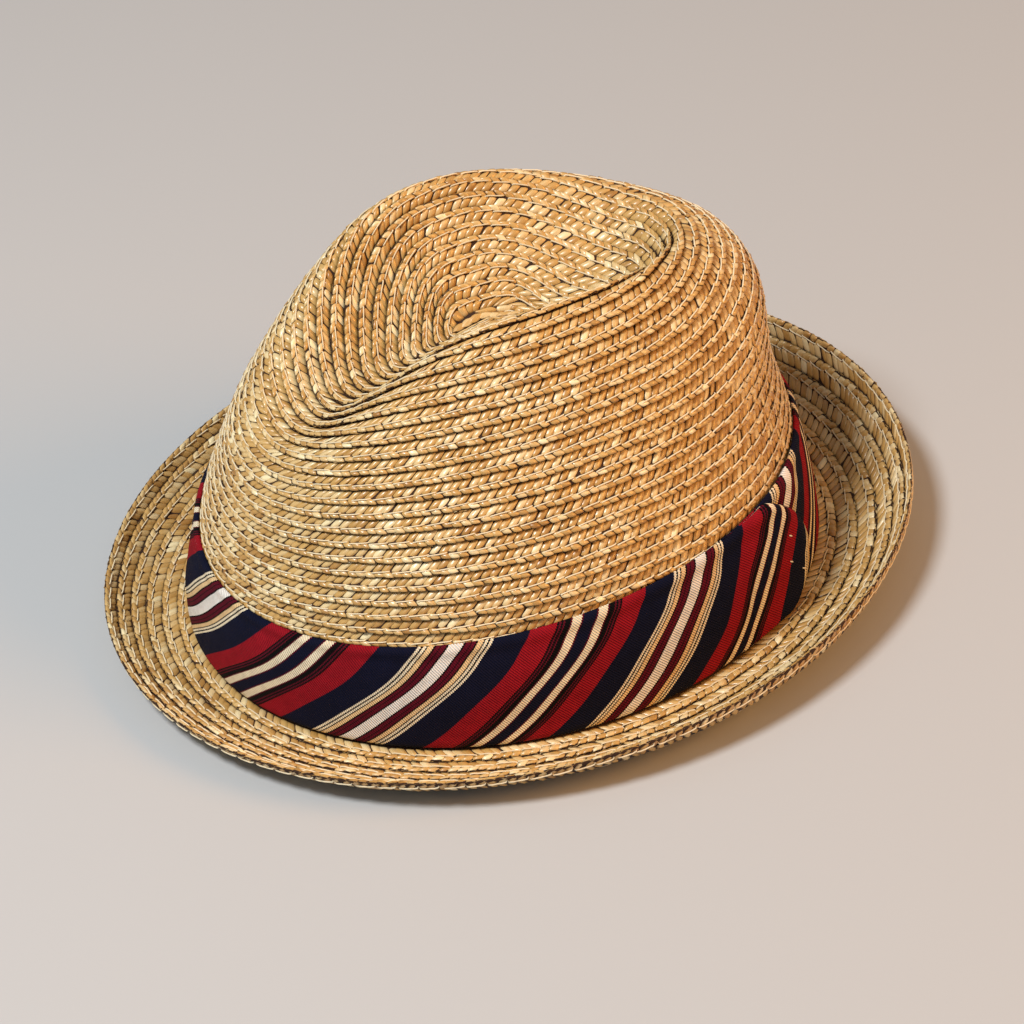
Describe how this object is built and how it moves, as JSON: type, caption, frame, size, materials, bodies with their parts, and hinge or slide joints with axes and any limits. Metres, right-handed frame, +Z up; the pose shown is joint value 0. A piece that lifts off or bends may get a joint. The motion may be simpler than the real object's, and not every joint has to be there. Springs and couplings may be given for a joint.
{
  "type": "straw fedora",
  "caption": "Sewn straw fedora with a creased hollow crown, a short brim curled up all round and a striped cloth band with a folded end.",
  "frame": {"origin": "under the middle of the whole hat, on the surface that the brim rests on", "axes": "+Z up through the crown, -Y to the front of the hat, +X to the wearer's left"},
  "size_m": [0.2242, 0.2558, 0.1164],
  "materials": {
    "straw": "plaited wheat straw in sewn lapped rows, natural golden, softly glossy",
    "band_cloth": "ribbed cloth with woven bias stripes in navy, red, maroon, cream and white"
  },
  "bodies": {
    "root": {"crown": "straw", "brim": "straw", "hat_band": "band_cloth", "band_end": "band_cloth"}
  },
  "joints": []
}
